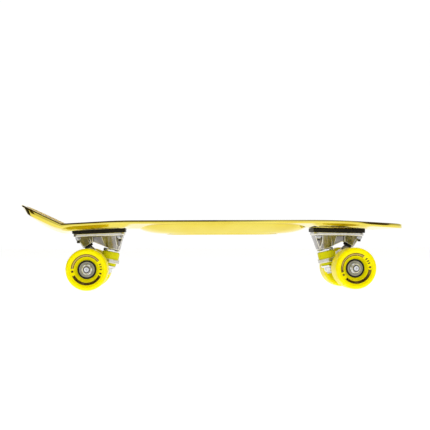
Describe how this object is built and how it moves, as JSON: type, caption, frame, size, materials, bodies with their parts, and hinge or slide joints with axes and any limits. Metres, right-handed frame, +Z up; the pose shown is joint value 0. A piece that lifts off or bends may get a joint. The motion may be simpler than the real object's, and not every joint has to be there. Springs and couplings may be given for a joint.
{
  "type": "cruiser skateboard",
  "caption": "Short moulded cruiser skateboard with a kicked tail, sprung steering trucks and freely rolling soft wheels.",
  "frame": {"origin": "on the floor, under the middle of the deck's length and width", "axes": "+X to the nose, +Y to the left of the board, +Z up"},
  "size_m": [0.5592, 0.1524, 0.1227],
  "materials": {
    "gold_chrome": "mirror gold plating",
    "urethane": "yellow translucent urethane, satin",
    "black_plastic": "satin black",
    "black_rubber": "matt black",
    "bushing_urethane": "yellow-green, satin",
    "cast_aluminium": "raw cast, fine grain",
    "zinc_steel": "bright zinc",
    "black_steel": "black oxide"
  },
  "bodies": {
    "board": {"deck": "gold_chrome", "front_riser_pad": "black_rubber", "front_baseplate": "cast_aluminium", "front_deck_bolt_1": "black_steel", "front_deck_nut_1": "zinc_steel", "front_deck_bolt_2": "black_steel", "front_deck_nut_2": "zinc_steel", "front_deck_bolt_3": "black_steel", "front_deck_nut_3": "zinc_steel", "front_deck_bolt_4": "black_steel", "front_deck_nut_4": "zinc_steel", "front_pivot_cup": "black_rubber", "front_kingpin": "zinc_steel", "front_upper_cup_washer": "zinc_steel", "front_board_side_bushing": "bushing_urethane", "front_road_side_bushing": "bushing_urethane", "front_lower_cup_washer": "zinc_steel", "front_kingpin_nut": "zinc_steel", "rear_riser_pad": "black_rubber", "rear_baseplate": "cast_aluminium", "rear_deck_bolt_1": "black_steel", "rear_deck_nut_1": "zinc_steel", "rear_deck_bolt_2": "black_steel", "rear_deck_nut_2": "zinc_steel", "rear_deck_bolt_3": "black_steel", "rear_deck_nut_3": "zinc_steel", "rear_deck_bolt_4": "black_steel", "rear_deck_nut_4": "zinc_steel", "rear_pivot_cup": "black_rubber", "rear_kingpin": "zinc_steel", "rear_upper_cup_washer": "zinc_steel", "rear_board_side_bushing": "bushing_urethane", "rear_road_side_bushing": "bushing_urethane", "rear_lower_cup_washer": "zinc_steel", "rear_kingpin_nut": "zinc_steel"},
    "front_truck": {"front_hanger": "cast_aluminium", "front_axle": "zinc_steel", "front_left_axle_nut": "zinc_steel", "front_right_axle_nut": "zinc_steel"},
    "front_left_wheel": {"front_left_wheel_tyre": "urethane", "front_left_wheel_core": "black_plastic", "front_left_wheel_inner_bearing": "zinc_steel", "front_left_wheel_outer_bearing": "zinc_steel"},
    "front_right_wheel": {"front_right_wheel_tyre": "urethane", "front_right_wheel_core": "black_plastic", "front_right_wheel_inner_bearing": "zinc_steel", "front_right_wheel_outer_bearing": "zinc_steel"},
    "rear_truck": {"rear_hanger": "cast_aluminium", "rear_axle": "zinc_steel", "rear_left_axle_nut": "zinc_steel", "rear_right_axle_nut": "zinc_steel"},
    "rear_left_wheel": {"rear_left_wheel_tyre": "urethane", "rear_left_wheel_core": "black_plastic", "rear_left_wheel_inner_bearing": "zinc_steel", "rear_left_wheel_outer_bearing": "zinc_steel"},
    "rear_right_wheel": {"rear_right_wheel_tyre": "urethane", "rear_right_wheel_core": "black_plastic", "rear_right_wheel_inner_bearing": "zinc_steel", "rear_right_wheel_outer_bearing": "zinc_steel"}
  },
  "joints": [
    {"name": "front_steer", "type": "hinge", "parent": "board", "child": "front_truck", "pos_m": [0.16844, 0, 0.04078], "axis": [0.7831, 0, 0.6219], "range_deg": [-10, 10], "stiffness_Nm_per_rad": 40, "deforming": ["front_board_side_bushing", "front_road_side_bushing"]},
    {"name": "front_left_wheel_spin", "type": "hinge", "parent": "front_truck", "child": "front_left_wheel", "pos_m": [0.1971, 0.0529, 0.0295], "axis": [0, 1, 0], "continuous": true},
    {"name": "front_right_wheel_spin", "type": "hinge", "parent": "front_truck", "child": "front_right_wheel", "pos_m": [0.1971, -0.0529, 0.0295], "axis": [0, 1, 0], "continuous": true},
    {"name": "rear_steer", "type": "hinge", "parent": "board", "child": "rear_truck", "pos_m": [-0.15318, 0, 0.04113], "axis": [-0.7906, 0, 0.6123], "range_deg": [-10, 10], "stiffness_Nm_per_rad": 40, "deforming": ["rear_board_side_bushing", "rear_road_side_bushing"]},
    {"name": "rear_left_wheel_spin", "type": "hinge", "parent": "rear_truck", "child": "rear_left_wheel", "pos_m": [-0.1817, 0.0529, 0.0295], "axis": [0, 1, 0], "continuous": true},
    {"name": "rear_right_wheel_spin", "type": "hinge", "parent": "rear_truck", "child": "rear_right_wheel", "pos_m": [-0.1817, -0.0529, 0.0295], "axis": [0, 1, 0], "continuous": true}
  ]
}
